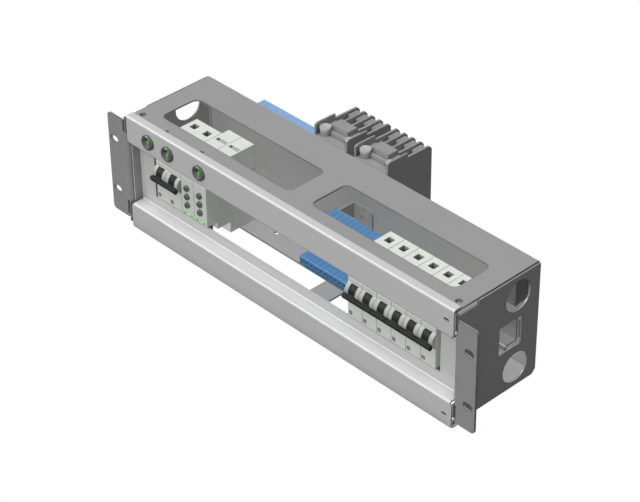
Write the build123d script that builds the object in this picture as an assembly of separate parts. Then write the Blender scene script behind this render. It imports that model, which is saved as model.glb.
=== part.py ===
from build123d import *
import os

# Rack power distribution module, 19 inch, three height units, in millimetres.
# Origin: centre of the rectangle of the four ear slots, on the front plane of the ears.
# +X is to the right seen from the front, +Y is to the rear, +Z is up.

# General clearances
fit_gap = 0.2            # between a device and the rail that it hooks on
run_gap = 0.3            # beside a moving piece
pin_gap = 0.05           # round a pivot pin, on the radius
side_gap = 0.4           # between two devices that stand side by side
wall_gap = 0.6           # between the side plates and the sheets that lie between them

# Rack ears and side plates
rack_width = 482.6
ear_width = 26.8         # from the inside of a side plate to the end of its ear
slot_inset = 8.75        # from the end of an ear to the middle of its slots
slot_spacing_z = 57.15
slot_length = 10.3
slot_height = 6.8
ear_height = 110.5
ear_centre_z = 0.75
ear_corner = 4.0
plate_thickness = 2.0
ear_bend = 3.3           # inside radius of the fold between ear and plate
tab_bend = 1.5           # inside radius of the fold at the screw tab
plate_top_z = 60.6
plate_bottom_z = -58.6
plate_rear_y = 105.3
plate_rear_notch = 4.4
tab_front_y = 3.5
tab_rear_y = 27.0
tab_reach = 17.5
ear_relief_top_z = 43.6
ear_relief_low_z = (-50.5, -36.0)
ear_relief_width = 2.2
tab_relief = 1.8
cable_hole_radius = 15.9
cable_hole_y = 78.0
cable_hole_z = 38.75     # above and below the middle of the plate
plate_middle_z = 1.0
window_hole_y = 69.8
window_hole_size = (28.6, 30.2)

# Chassis shell: top panel, rear wall and rear bottom flange from one sheet
shell_thickness = 1.5
shell_bend = 0.5
shell_top_z = 61.6
shell_rear_y = 106.8
shell_bottom_z = -59.5
bottom_flange_front_y = 68.0
window_front_y = 24.9
window_rear_y = 70.2
window_margin = 23.5     # from the inside of a side plate to the window
window_inner_x = 13.8
window_corner = 7.0
top_hole_radius = 3.0
top_hole_margin = 9.2
top_hole_y = 14.8
small_hole_radius = 2.3
small_hole_margins = (47.9, 97.5)
small_hole_y = 10.6
flange_hole_place = (-100.5, 86.6)

# Front plate: two strips, ledges and the set-back middle from one sheet
front_thickness = 1.5
front_bend = 1.0
strip_face_y = 0.5
top_flange_rear_y = 9.2
upper_strip_bottom_z = 32.2
lower_strip_top_z = -36.2
lower_strip_bottom_z = -65.2
bottom_lip_rear_y = 8.4
inner_face_y = 14.4
ledge_margin = 3.1       # from the inside of a side plate to the end of a ledge
inner_flange_front_y = 4.9
cutout_margin = 28.3
cutout_z = (-25.2, 27.2)
strip_corner = 2.5
strip_slot_margin = 9.6
strip_slot_z = (49.3, -52.8)
strip_slot_size = (6.0, 3.2)

# Cross strap, carrier bar and wall bracket
support_width = 25.0
support_thickness = 1.5
strap_front_tab = 12.0
strap_rear_y = 92.0
carrier_face_y = 82.3
carrier_z = (-18.0, 20.0)
carrier_tab = 14.0
carrier_bend = 1.8
bracket_top_z = 13.4
bracket_bottom_z = -10.6
bracket_corner = 5.0
bracket_hole_radius = 2.2

# Mounting rails, 35 mm top-hat section
rail_centre_z = 1.0
rail_height = 35.0
rail_inner_height = 24.0
rail_lip_height = 5.0
front_rail_depth = 15.0
front_rail_thickness = 1.5
front_rail_margin = 1.3  # from the inside of a side plate to the end of the rail
rear_rail_depth = 7.5
rear_rail_thickness = 1.0
rear_rail_margin = 9.5
rear_rail_length = 215.0
hook_depth = 3.0
hook_reach = 3.0

# Modular devices: breakers and relays
module_pitch = 18.0
device_centre_z = 1.0
nose_face_y = 11.3
nose_half_height = 22.5
nose_bevel = 2.7
first_step_y = 24.0
first_step_half = 30.5
second_step_y = 40.0
body_half_height = 42.5
breaker_rear_y = 64.5
relay_rear_y = 73.3
foot_half_height = 22.0
group_margins = (0.2, 2.6)  # from the ends of the front cut-out to the devices, left and right
pole_count = 6
edge_break = 0.4

# Breaker handle
pivot_y = 15.0
pivot_z = 7.8
cheek_radius = 8.6
handle_width = 8.0
drum_radius = 8.0
pin_seat = 1.4           # length of a pin in the housing
pin_radius = 1.5
bar_inner = 8.9
bar_outer = 12.7
bar_thickness = 5.0
bar_drop = 21.0          # degrees below level, handle down
bar_side_gap = 0.5

# Wire entries on top of the breakers
entry_size = (7.4, 7.6)
entry_depth = 11.0
entry_y = 53.9
clamp_radius = 2.7
clamp_height = 6.0
clamp_slot = (0.9, 1.2)

# Relay front
knob_radius = 3.2
knob_height = 2.3
knob_shaft_radius = 1.2
knob_shaft_length = 4.0
knob_z = (10.2, 0.7, -8.8)
knob_slot = (0.9, 0.8)
lamp_radius = 1.5
lamp_height = 0.9
lamp_offset_x = 4.8
lamp_z = -19.3
relay_pocket = (4.4, 4.0, 4.0)
relay_pocket_x = -3.6
relay_pocket_y = 55.5
relay_groove = (8.0, 0.9, 1.2)
relay_groove_count = 3
relay_groove_pitch = 1.6

# Front terminal blocks
terminal_count = 10
terminal_pitch = 6.05
terminal_gap = 0.25
terminal_nose_y = 10.0
terminal_half_height = 41.0
terminal_top_rear_y = 55.4
terminal_rear_y = 62.6
terminal_test_hole = (2.0, 3.0)
terminal_test_z = 9.0

# Pilot lights on the upper strip
pilot_margins = (33.0, 61.1, 105.4)
pilot_ring_radius = 7.8
pilot_ring_height = 3.0
pilot_dish_radius = 5.8
pilot_dish_depth = 2.6
pilot_body_radius = 5.5
pilot_body_length = 16.0
pilot_hole_gap = 0.2
pilot_lamp_size = (2.6, 3.4)
pilot_lamp_height = 0.7
pilot_nut_across = 14.0
pilot_nut_height = 2.6
pilot_notch = (2.2, 1.2)

# Rear terminal blocks and end stop
rear_terminal_count = 7
rear_terminal_pitch = 10.3
rear_terminal_gap = 0.15
rear_terminal_margin = 13.0  # from the end of the rear rail to the first block
rear_terminal_half = 21.3
rear_terminal_front_y = 157.0
rear_terminal_marker = (2.4, 5.0)
rear_terminal_hole_radius = 2.6
rear_terminal_hole_depth = 9.0
rear_terminal_wire_radius = 2.9
end_stop_width = 10.1

# Contactors
contactor_gap = 5.3      # from the end stop to the first contactor
contactor_spacing = 54.5
contactor_width = 45.0
contactor_base_half = 28.0
contactor_base_inset = 1.0
contactor_head_y = 142.0
contactor_head_half = 40.2
contactor_wall = 2.0
contactor_step_y = 168.4
contactor_rib_half = 35.2
contactor_front_y = 200.8
contactor_floor_half = 28.0
contactor_channel_half = 29.5
contactor_floor_fall = 3.9
contactor_rib_count = 5
contactor_rib = 2.4
contactor_block_x = (10.5, 32.6)
contactor_block_y = (154.6, 167.8)
contactor_block_half = 38.0
contactor_shoulder_half = 32.5
contactor_chamfer = 3.2
coil_post_radii = (5.6, 3.4)
coil_post_y = 149.6
coil_post_half = 36.0
coil_post_insets = (7.6, 6.0)
clamp_plate = (6.8, 12.2, 4.9)
clamp_plate_start = 15.4     # behind the step


def cylinder_y(x, z, y_start, y_end, radius):
    """Cylinder along Y between two depths."""
    middle = (y_start + y_end) / 2
    return Pos(x, middle, z) * Rot(90, 0, 0) * Cylinder(radius, abs(y_end - y_start))


def block(x_range, y_range, z_range):
    """Box between pairs of coordinates."""
    corners = (x_range, y_range, z_range)
    size = [high - low for low, high in corners]
    centre = [(high + low) / 2 for low, high in corners]
    return Pos(*centre) * Box(*size)


def along_x(sketch, x_start, x_end):
    """Extrude a Y-Z section from one X to another."""
    return extrude(Plane.YZ.offset(x_start) * sketch, amount=x_end - x_start)


def section(points):
    """Closed Y-Z section from its corners."""
    return make_face(Polyline(*points, close=True))


def folded(points, thickness, inside_radius):
    """Section of a folded sheet whose middle line runs through the points."""
    middle_line = FilletPolyline(*points, radius=inside_radius + thickness / 2)
    return trace(middle_line, line_width=thickness)


def save(name, shape):
    export_step(shape, f"parts/{name}.step")


def rail_hooks(lip_face_y, lip_thickness, away):
    """Corners of the back of a device that hooks on a rail, from the upper hook to the lower.

    away is +1 where the rail lies behind the device (greater Y) and -1 where it lies before it.
    """
    lip_back = lip_face_y + away * (lip_thickness + fit_gap)
    hook_end = lip_back + away * hook_depth
    seat = lip_face_y - away * fit_gap
    outer = rail_height / 2 + fit_gap
    inner = outer - hook_reach
    upper = [(hook_end, inner), (lip_back, inner), (lip_back, outer), (seat, outer)]
    lower = [(y, -z) for y, z in reversed(upper)]
    return [(y, rail_centre_z + z) for y, z in upper + lower], hook_end


# Places that several pieces share
slot_spacing_x = rack_width - 2 * slot_inset
plate_inside_x = rack_width / 2 - ear_width
plate_outside_x = plate_inside_x + plate_thickness
plate_middle_x = plate_inside_x + plate_thickness / 2
shell_half_width = plate_inside_x - wall_gap
strip_half_width = plate_inside_x - 1.5 * wall_gap
cutout_half_width = plate_inside_x - cutout_margin
top_hole_x = plate_inside_x - top_hole_margin
front_rail_half_length = plate_inside_x - front_rail_margin
rear_rail_start = rear_rail_margin - plate_inside_x
rear_terminal_x = rear_rail_start + rear_terminal_margin
end_stop_x = rear_terminal_x + rear_terminal_count * rear_terminal_pitch
first_contactor_x = end_stop_x + end_stop_width + contactor_gap
contactor_x = [first_contactor_x + number * contactor_spacing for number in range(2)]
left_group_x = group_margins[0] - cutout_half_width
right_group_x = cutout_half_width - group_margins[1] - pole_count * module_pitch
pilot_x = [margin - plate_inside_x for margin in pilot_margins]
shell_under_z = shell_top_z - shell_thickness
wall_inside_y = shell_rear_y - shell_thickness
front_lip_y = carrier_face_y - front_rail_depth
rear_lip_y = shell_rear_y + rear_rail_depth
upper_strip_middle_z = (shell_top_z + front_thickness + upper_strip_bottom_z) / 2


# Side plates
def side_plate_right():
    half = plate_thickness / 2
    plan = folded(
        [(rack_width / 2, half), (plate_middle_x, half), (plate_middle_x, plate_rear_y)],
        plate_thickness,
        ear_bend,
    )
    height = plate_top_z - plate_bottom_z
    plate = extrude(Pos(0, 0, plate_bottom_z) * plan, amount=height)
    plate = plate - ear_trims() + unfolded_edges()
    return plate - side_plate_trims() - side_plate_holes() + side_plate_tab()


def unfolded_zones():
    """Heights at which the plate runs straight to the front: above, between and below the folds."""
    return ((ear_relief_top_z, plate_top_z), ear_relief_low_z, (plate_bottom_z, ear_centre_z - ear_height / 2))


def ear_trims():
    """What is cut off round the ear: its rounded corners and the reliefs beside the folds."""
    notch_x = plate_outside_x + ear_relief_width
    front = (-1.0, plate_thickness + ear_bend)
    ear_reach = rack_width / 2 - notch_x + 2 * ear_corner
    frame = Pos(rack_width / 2 - ear_reach / 2, 0, ear_centre_z) * Rot(90, 0, 0)
    outline = frame * RectangleRounded(ear_reach, ear_height, ear_corner)
    ear_zone = block((notch_x, rack_width), front, (-rack_width, rack_width))
    trims = ear_zone - extrude(outline, amount=3 * plate_thickness, both=True)
    for zone in unfolded_zones():
        trims += block((plate_inside_x - 1, notch_x), front, zone)
    return trims


def unfolded_edges():
    edges = Part()
    for zone in unfolded_zones():
        edges += block((plate_inside_x, plate_outside_x), (0, plate_thickness + ear_bend), zone)
    return edges


def side_plate_trims():
    """Rear lower corner, and room for the fold of the tab."""
    beyond_y = plate_rear_y + 1
    notch_y = plate_rear_y - plate_rear_notch
    notch_z = plate_bottom_z + plate_rear_notch
    corner = section([(notch_y, plate_bottom_z), (plate_rear_y, notch_z), (beyond_y, notch_z),
                      (beyond_y, plate_bottom_z - 1), (notch_y, plate_bottom_z - 1)])
    trims = along_x(corner, plate_inside_x - 1, plate_outside_x + 1)
    tab_low = shell_under_z - plate_thickness - tab_bend
    trims += block((plate_inside_x - 1, plate_outside_x + 1), (tab_front_y - tab_relief, tab_rear_y + tab_relief),
                   (tab_low, plate_top_z + 1))
    return trims


def side_plate_holes():
    holes = Part()
    for side in (-1, 1):
        z = plate_middle_z + side * cable_hole_z
        holes += Pos(plate_middle_x, cable_hole_y, z) * Rot(0, 90, 0) * Cylinder(cable_hole_radius, 10)
    width, height = window_hole_size
    holes += Pos(plate_middle_x, window_hole_y, plate_middle_z) * Box(10, width, height)
    for side in (-1, 1):
        frame = Pos(slot_spacing_x / 2, 0, side * slot_spacing_z / 2) * Rot(90, 0, 0)
        holes += extrude(frame * SlotOverall(slot_length, slot_height), amount=10, both=True)
    return holes


def side_plate_tab():
    """Tab folded in under the top panel, with its screw hole."""
    half = plate_thickness / 2
    tab_z = shell_under_z - half
    profile = folded(
        [
            (plate_middle_x, shell_under_z - 2 * plate_thickness - tab_bend),
            (plate_middle_x, tab_z),
            (plate_inside_x - tab_reach, tab_z),
        ],
        plate_thickness,
        tab_bend,
    )
    tab = extrude(Plane.XZ.offset(-tab_rear_y) * profile, amount=tab_rear_y - tab_front_y)
    return tab - Pos(top_hole_x, top_hole_y, tab_z) * Cylinder(top_hole_radius - 0.4, 10)


# Chassis shell
def chassis_shell():
    half = shell_thickness / 2
    profile = folded(
        [
            (strip_face_y + front_thickness + front_bend, shell_top_z - half),
            (shell_rear_y - half, shell_top_z - half),
            (shell_rear_y - half, shell_bottom_z + half),
            (bottom_flange_front_y, shell_bottom_z + half),
        ],
        shell_thickness,
        shell_bend,
    )
    shell = along_x(profile, -shell_half_width, shell_half_width)
    window_outer_x = plate_inside_x - window_margin
    window_size = (window_outer_x - window_inner_x, window_rear_y - window_front_y)
    window_centre = ((window_outer_x + window_inner_x) / 2, (window_rear_y + window_front_y) / 2)
    for side in (-1, 1):
        frame = Pos(side * window_centre[0], window_centre[1], shell_top_z)
        shell -= extrude(frame * RectangleRounded(*window_size, window_corner), amount=5, both=True)
        shell -= Pos(side * top_hole_x, top_hole_y, shell_top_z) * Cylinder(top_hole_radius, 10)
    for margin in small_hole_margins:
        shell -= Pos(margin - plate_inside_x, small_hole_y, shell_top_z) * Cylinder(small_hole_radius, 10)
    shell -= Pos(*flange_hole_place, shell_bottom_z) * Cylinder(small_hole_radius, 10)
    return shell


# Front plate
def front_plate():
    half = front_thickness / 2
    flange_z = shell_top_z + half
    strip_y = strip_face_y + half
    inner_y = inner_face_y + half
    upper_z = upper_strip_bottom_z + half
    lower_z = lower_strip_top_z - half
    bottom_z = lower_strip_bottom_z + half
    profile = folded(
        [
            (top_flange_rear_y, flange_z),
            (strip_y, flange_z),
            (strip_y, upper_z),
            (inner_y, upper_z),
            (inner_y, lower_z),
            (strip_y, lower_z),
            (strip_y, bottom_z),
            (bottom_lip_rear_y, bottom_z),
        ],
        front_thickness,
        front_bend,
    )
    plate = along_x(profile, -strip_half_width, strip_half_width)
    plate -= front_plate_end_trims()
    low, high = cutout_z
    frame = Pos(0, inner_face_y, (low + high) / 2) * Rot(90, 0, 0)
    plate -= extrude(frame * RectangleRounded(2 * cutout_half_width, high - low, 1.5), amount=5, both=True)
    for z in strip_slot_z:
        frame = Pos(plate_inside_x - strip_slot_margin, strip_face_y, z) * Rot(90, 0, 0)
        plate -= extrude(frame * SlotOverall(*strip_slot_size), amount=4, both=True)
    for x in pilot_x:
        plate -= cylinder_y(x, upper_strip_middle_z, -3, 5, pilot_body_radius + pilot_hole_gap)
    return plate + front_plate_side_flanges()


def front_plate_end_trims():
    """The ledges are shorter than the strips, and the strips' corners are rounded."""
    behind_strip = strip_face_y + front_thickness + front_bend
    trims = Part()
    ledge_zones = (
        (upper_strip_bottom_z - 1, upper_strip_bottom_z + front_thickness + front_bend),
        (lower_strip_top_z - front_thickness - front_bend, lower_strip_top_z + 1),
    )
    for side in (-1, 1):
        ends = sorted((side * (plate_inside_x - ledge_margin), side * (strip_half_width + 1)))
        for zone in ledge_zones:
            trims += block(ends, (-1, inner_face_y - front_bend), zone)
        for z, turn in ((upper_strip_bottom_z, 1), (lower_strip_top_z, -1), (lower_strip_bottom_z, 1)):
            square = Pos(side * (strip_half_width - strip_corner / 2), z + turn * strip_corner / 2)
            round_end = Pos(side * (strip_half_width - strip_corner), z + turn * strip_corner)
            corner = square * Rectangle(strip_corner, strip_corner) - round_end * Circle(strip_corner)
            trims += extrude(Plane.XZ.offset(-behind_strip) * corner, amount=behind_strip + 1)
    return trims


def front_plate_side_flanges():
    """Short flanges folded forward at both ends of the set-back middle."""
    half = front_thickness / 2
    inner_y = inner_face_y + half
    flange_x = plate_inside_x - wall_gap - half
    plan = folded(
        [(strip_half_width - 6, inner_y), (flange_x, inner_y), (flange_x, inner_flange_front_y)],
        front_thickness,
        front_bend,
    )
    low = lower_strip_top_z + front_bend
    high = upper_strip_bottom_z - front_bend
    right = extrude(Pos(0, 0, low) * plan, amount=high - low)
    return right + mirror(right, about=Plane.YZ)


# Cross strap, carrier bar and wall bracket
def cross_strap():
    half = support_thickness / 2
    strap_z = shell_bottom_z - half
    tab_y = strip_face_y + front_thickness + half
    profile = folded(
        [(tab_y, strap_z + strap_front_tab), (tab_y, strap_z), (strap_rear_y, strap_z)],
        support_thickness,
        shell_bend,
    )
    return along_x(profile, -support_width / 2, support_width / 2)


def carrier_bar():
    low, high = carrier_z
    half = support_thickness / 2
    bar_y = carrier_face_y + half
    end_x = plate_inside_x - half
    plan = folded(
        [(-end_x, bar_y + carrier_tab), (-end_x, bar_y), (end_x, bar_y), (end_x, bar_y + carrier_tab)],
        support_thickness,
        carrier_bend,
    )
    return extrude(Pos(0, 0, low) * plan, amount=high - low)


def wall_bracket():
    half = support_thickness / 2
    edge = support_width / 2
    front_y = carrier_face_y + support_thickness + half
    rear_y = wall_inside_y - half
    plan = folded(
        [(edge, front_y), (-edge + half, front_y), (-edge + half, rear_y), (edge, rear_y)],
        support_thickness,
        shell_bend,
    )
    bracket = extrude(Pos(0, 0, bracket_bottom_z) * plan, amount=bracket_top_z - bracket_bottom_z)
    corners = bracket.edges().filter_by(Axis.Y).group_by(Axis.X)[-1]
    bracket = fillet(corners, bracket_corner)
    middle_z = (bracket_top_z + bracket_bottom_z) / 2
    return bracket - cylinder_y(0, middle_z, rear_y - 5, rear_y + 5, bracket_hole_radius)


# Mounting rails
def top_hat(lip_y, base_y, thickness):
    """Section of a top-hat rail with its lips at lip_y and its foot on base_y."""
    away = 1 if base_y > lip_y else -1
    half = thickness / 2
    lip = lip_y + away * half
    foot = base_y - away * half
    wall = rail_inner_height / 2 + half
    points = [
        (lip, rail_height / 2),
        (lip, wall),
        (foot, wall),
        (foot, -wall),
        (lip, -wall),
        (lip, -rail_height / 2),
    ]
    return folded([(y, rail_centre_z + z) for y, z in points], thickness, 0.4)


def front_rail():
    profile = top_hat(front_lip_y, carrier_face_y, front_rail_thickness)
    return along_x(profile, -front_rail_half_length, front_rail_half_length)


def rear_rail():
    profile = top_hat(rear_lip_y, shell_rear_y, rear_rail_thickness)
    return along_x(profile, rear_rail_start, rear_rail_start + rear_rail_length)


# Modular housings
def module_section(rear_y):
    """Side view of a modular device: nose, two steps, body and a foot with the rail hooks."""
    hooks, hook_end = rail_hooks(front_lip_y, front_rail_thickness, 1)
    nose_top = device_centre_z + nose_half_height
    nose_low = device_centre_z - nose_half_height
    foot_y = max(rear_y + 0.5, hook_end)
    points = [
        (nose_face_y, nose_low),
        (nose_face_y, nose_top - nose_bevel),
        (nose_face_y + nose_bevel / 3, nose_top),
        (first_step_y, nose_top),
        (first_step_y, device_centre_z + first_step_half),
        (second_step_y, device_centre_z + first_step_half),
        (second_step_y, device_centre_z + body_half_height),
        (rear_y, device_centre_z + body_half_height),
        (rear_y, device_centre_z + foot_half_height),
        (foot_y, device_centre_z + foot_half_height),
        (foot_y, hooks[0][1]),
    ]
    points += hooks[1:-1]
    points += [
        (foot_y, hooks[-1][1]),
        (foot_y, device_centre_z - foot_half_height),
        (rear_y, device_centre_z - foot_half_height),
        (rear_y, device_centre_z - body_half_height),
        (second_step_y, device_centre_z - body_half_height),
        (second_step_y, device_centre_z - first_step_half),
        (first_step_y, device_centre_z - first_step_half),
        (first_step_y, nose_low),
    ]
    return section(points)


def housing(x_start, modules, rear_y):
    """Plain modular housing, a given number of modules wide."""
    inset = side_gap / 2
    return along_x(module_section(rear_y), x_start + inset, x_start + modules * module_pitch - inset)


def pole_front(x_middle):
    """The pair of round cheeks beside one handle."""
    width = module_pitch - side_gap
    cheeks = Pos(x_middle, pivot_y, pivot_z) * Rot(0, 90, 0) * Cylinder(cheek_radius, width)
    return cheeks - block((x_middle - width, x_middle + width), (nose_face_y + 2, pivot_y + 20),
                          (pivot_z - 20, pivot_z + 20))


def handle_slot(x_middle):
    """Room for the handle's drum and pins."""
    width = handle_width + 2 * run_gap
    drum = Pos(x_middle, pivot_y, pivot_z) * Rot(0, 90, 0) * Cylinder(drum_radius + run_gap, width)
    mouth_half = drum_radius + run_gap
    mouth = block((x_middle - width / 2, x_middle + width / 2), (0, pivot_y),
                  (pivot_z - mouth_half, pivot_z + mouth_half))
    return drum + mouth


def pin_hole(x_middle):
    length = handle_width + 2 * (run_gap + pin_seat + fit_gap)
    return Pos(x_middle, pivot_y, pivot_z) * Rot(0, 90, 0) * Cylinder(pin_radius + pin_gap, length)


def wire_entry(x_middle):
    """Square wire entries on top and underneath."""
    width, depth_y = entry_size
    top = device_centre_z + body_half_height
    low = device_centre_z - body_half_height
    entries = Part()
    for start, end in ((top - entry_depth, top + 1), (low - 1, low + entry_depth)):
        entries += block((x_middle - width / 2, x_middle + width / 2),
                         (entry_y - depth_y / 2, entry_y + depth_y / 2), (start, end))
    return entries


def breaker(x_start, poles):
    body = housing(x_start, poles, breaker_rear_y)
    for pole in range(poles):
        x_middle = x_start + (pole + 0.5) * module_pitch
        body += pole_front(x_middle)
    for pole in range(poles):
        x_middle = x_start + (pole + 0.5) * module_pitch
        body = body - handle_slot(x_middle) - pin_hole(x_middle) - wire_entry(x_middle)
    return body


def handle(x_start, poles):
    """Drum, arm and cross bar of each pole; the bar is shared where poles are tied."""
    first = x_start + 0.5 * module_pitch
    last = x_start + (poles - 0.5) * module_pitch
    half_bar = (module_pitch - bar_side_gap) / 2
    bar_box = block((first - half_bar, last + half_bar), (-bar_outer, -bar_inner),
                    (-bar_thickness / 2, bar_thickness / 2))
    bar_box = fillet(bar_box.edges().filter_by(Axis.X), 1.2)
    lever = Part() + bar_box
    for pole in range(poles):
        x_middle = first + pole * module_pitch
        lever += Pos(x_middle, 0, 0) * Rot(0, 90, 0) * Cylinder(drum_radius, handle_width)
        lever += block((x_middle - handle_width / 2, x_middle + handle_width / 2),
                       (-bar_inner - 1, 0), (-bar_thickness / 2, bar_thickness / 2))
        pin_length = handle_width + 2 * (run_gap + pin_seat)
        lever += Pos(x_middle, 0, 0) * Rot(0, 90, 0) * Cylinder(pin_radius, pin_length)
    return Pos(0, pivot_y, pivot_z) * Rot(bar_drop, 0, 0) * lever


def terminal_clamps(x_middles):
    """Slotted clamp screw at the foot of each wire entry."""
    foot = device_centre_z + body_half_height - entry_depth
    width, depth = clamp_slot
    clamps = []
    for x in x_middles:
        screw = Pos(x, entry_y, foot + clamp_height / 2) * Cylinder(clamp_radius, clamp_height)
        top = foot + clamp_height
        screw -= block((x - clamp_radius, x + clamp_radius), (entry_y - width / 2, entry_y + width / 2),
                       (top - depth, top + 1))
        clamps.append(screw)
    return Compound(clamps)


# Relays
def relay(x_start):
    x_middle = x_start + module_pitch / 2
    top = device_centre_z + body_half_height
    body = housing(x_start, 1, relay_rear_y)
    for z in knob_z:
        body -= cylinder_y(x_middle, z, nose_face_y - 1, nose_face_y + knob_shaft_length + fit_gap,
                           knob_shaft_radius + pin_gap)
    for side in (-1, 1):
        body -= cylinder_y(x_middle + side * lamp_offset_x, lamp_z, nose_face_y - 1, nose_face_y + 2, lamp_radius)
    width, depth_y, depth = relay_pocket
    pocket_x = x_middle + relay_pocket_x
    body -= block((pocket_x - width / 2, pocket_x + width / 2),
                  (relay_pocket_y - depth_y / 2, relay_pocket_y + depth_y / 2), (top - depth, top + 1))
    length, groove, depth = relay_groove
    groove_x = pocket_x + width / 2 + 0.8
    for index in range(relay_groove_count):
        y = relay_pocket_y + (index - (relay_groove_count - 1) / 2) * relay_groove_pitch
        body -= block((groove_x, groove_x + length), (y - groove / 2, y + groove / 2), (top - depth, top + 1))
    return body


def relay_knob(x_middle, z):
    """Slotted setting knob with the shaft that it turns on."""
    face = nose_face_y - run_gap - knob_height
    knob = cylinder_y(x_middle, z, face, nose_face_y - run_gap, knob_radius)
    knob = chamfer(knob.edges().group_by(Axis.Y)[0], 0.5)
    knob += cylinder_y(x_middle, z, nose_face_y - run_gap, nose_face_y + knob_shaft_length, knob_shaft_radius)
    width, depth = knob_slot
    return knob - block((x_middle - knob_radius, x_middle + knob_radius), (face - 1, face + depth),
                        (z - width / 2, z + width / 2))


def relay_lamps(x_middles):
    lamps = []
    for x_middle in x_middles:
        for side in (-1, 1):
            lamp = cylinder_y(x_middle + side * lamp_offset_x, lamp_z, nose_face_y - lamp_height,
                              nose_face_y + 2, lamp_radius)
            lamps.append(fillet(lamp.edges().group_by(Axis.Y)[0], 0.6))
    return Compound(lamps)


# Front terminal blocks
def terminal_section():
    hooks, hook_end = rail_hooks(front_lip_y, front_rail_thickness, 1)
    rear = max(terminal_rear_y, hook_end)
    steps = [(terminal_nose_y, 12.0), (22.0, 12.0), (22.0, 21.0), (32.0, 21.0), (32.0, 31.0), (42.0, 31.0),
             (42.0, terminal_half_height), (terminal_top_rear_y, terminal_half_height),
             (terminal_top_rear_y, 30.0), (rear, 22.0)]
    upper = [(y, device_centre_z + z) for y, z in steps]
    lower = [(rear, device_centre_z - 22.0), (terminal_top_rear_y, device_centre_z - 30.0),
             (terminal_top_rear_y, device_centre_z - terminal_half_height),
             (51.5, device_centre_z - terminal_half_height), (51.5, device_centre_z - 31.0),
             (42.0, device_centre_z - 31.0), (42.0, device_centre_z - 21.0),
             (32.0, device_centre_z - 21.0), (32.0, device_centre_z - 11.0),
             (22.0, device_centre_z - 11.0), (22.0, device_centre_z - 3.0),
             (14.4, device_centre_z - 3.0), (14.4, device_centre_z + 4.0), (terminal_nose_y, device_centre_z + 4.0)]
    points = upper + [(rear, hooks[0][1])] + hooks[1:-1] + [(rear, hooks[-1][1])] + lower
    return section(points)


def front_terminals():
    profile = terminal_section()
    end_x = right_group_x - terminal_gap
    blocks = []
    size, depth = terminal_test_hole
    for index in range(terminal_count):
        start = end_x - (terminal_count - index) * terminal_pitch
        body = along_x(profile, start, start + terminal_pitch - terminal_gap)
        middle = start + (terminal_pitch - terminal_gap) / 2
        body -= block((middle - size / 2, middle + size / 2), (0, terminal_nose_y + depth),
                      (terminal_test_z - size / 2, terminal_test_z + size / 2))
        blocks.append(body)
    return Compound(blocks)


# Pilot lights
def pilot_body(x):
    z = upper_strip_middle_z
    ring = cylinder_y(x, z, strip_face_y - pilot_ring_height, strip_face_y, pilot_ring_radius)
    ring = chamfer(ring.edges().group_by(Axis.Y)[0], 0.9)
    body = ring + cylinder_y(x, z, strip_face_y, strip_face_y + pilot_body_length, pilot_body_radius)
    dish_floor = pilot_lamp_size[1] / 2 + 0.6
    dish = Pos(x, strip_face_y - pilot_ring_height + pilot_dish_depth / 2, z) * Rot(90, 0, 0)
    body -= dish * Cone(dish_floor, pilot_dish_radius, pilot_dish_depth)
    width, depth = pilot_notch
    angle = Pos(x, 0, z) * Rot(0, -35, 0)
    notch = angle * Pos(0, strip_face_y - pilot_ring_height, pilot_ring_radius) * Box(width, 2 * depth, 2 * depth)
    return body - notch


def pilot_lamp(x):
    z = upper_strip_middle_z
    floor_y = strip_face_y - pilot_ring_height + pilot_dish_depth
    width, height = pilot_lamp_size
    return block((x - width / 2, x + width / 2), (floor_y - pilot_lamp_height, floor_y),
                 (z - height / 2, z + height / 2))


def pilot_nut(x):
    z = upper_strip_middle_z
    start = strip_face_y + front_thickness
    frame = Pos(x, start + pilot_nut_height, z) * Rot(90, 0, 0)
    hexagon = RegularPolygon(pilot_nut_across / 2, 6, major_radius=False)
    nut = extrude(frame * hexagon, amount=pilot_nut_height)
    return nut - cylinder_y(x, z, start - 1, start + 10, pilot_body_radius)


# Rear terminal blocks
def rear_section(front_y, half_height, marker=None):
    hooks, hook_end = rail_hooks(rear_lip_y, rear_rail_thickness, -1)
    points = [(hook_end, rail_centre_z + half_height), (front_y, rail_centre_z + half_height)]
    if marker:
        depth, marker_half = marker
        points += [
            (front_y, rail_centre_z + marker_half),
            (front_y + depth, rail_centre_z + marker_half),
            (front_y + depth, rail_centre_z - marker_half),
            (front_y, rail_centre_z - marker_half),
        ]
    points += [(front_y, rail_centre_z - half_height), (hook_end, rail_centre_z - half_height)]
    points += list(reversed(hooks))
    return section(points)


def rear_terminals():
    profile = rear_section(rear_terminal_front_y, rear_terminal_half, rear_terminal_marker)
    blocks = []
    for index in range(rear_terminal_count):
        start = rear_terminal_x + index * rear_terminal_pitch
        end = start + rear_terminal_pitch - rear_terminal_gap
        middle = (start + end) / 2
        body = along_x(profile, start, end)
        for side in (-1, 1):
            z = rail_centre_z + side * (rear_terminal_half - rear_terminal_hole_radius - 3.2)
            body -= cylinder_y(middle, z, rear_terminal_front_y - rear_terminal_hole_depth,
                               rear_terminal_front_y + 5, rear_terminal_hole_radius)
            wire_y = rear_terminal_front_y - rear_terminal_hole_depth - rear_terminal_wire_radius - 2
            wire_z = rail_centre_z + side * rear_terminal_half
            body -= Pos(middle, wire_y, wire_z) * Cylinder(rear_terminal_wire_radius, 16)
        blocks.append(body)
    return Compound(blocks)


def end_stop():
    profile = rear_section(rear_terminal_front_y, rear_terminal_half)
    body = along_x(profile, end_stop_x, end_stop_x + end_stop_width)
    middle = end_stop_x + end_stop_width / 2
    return body - cylinder_y(middle, rail_centre_z, rear_terminal_front_y - 4, rear_terminal_front_y + 1, 3.0)


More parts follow.
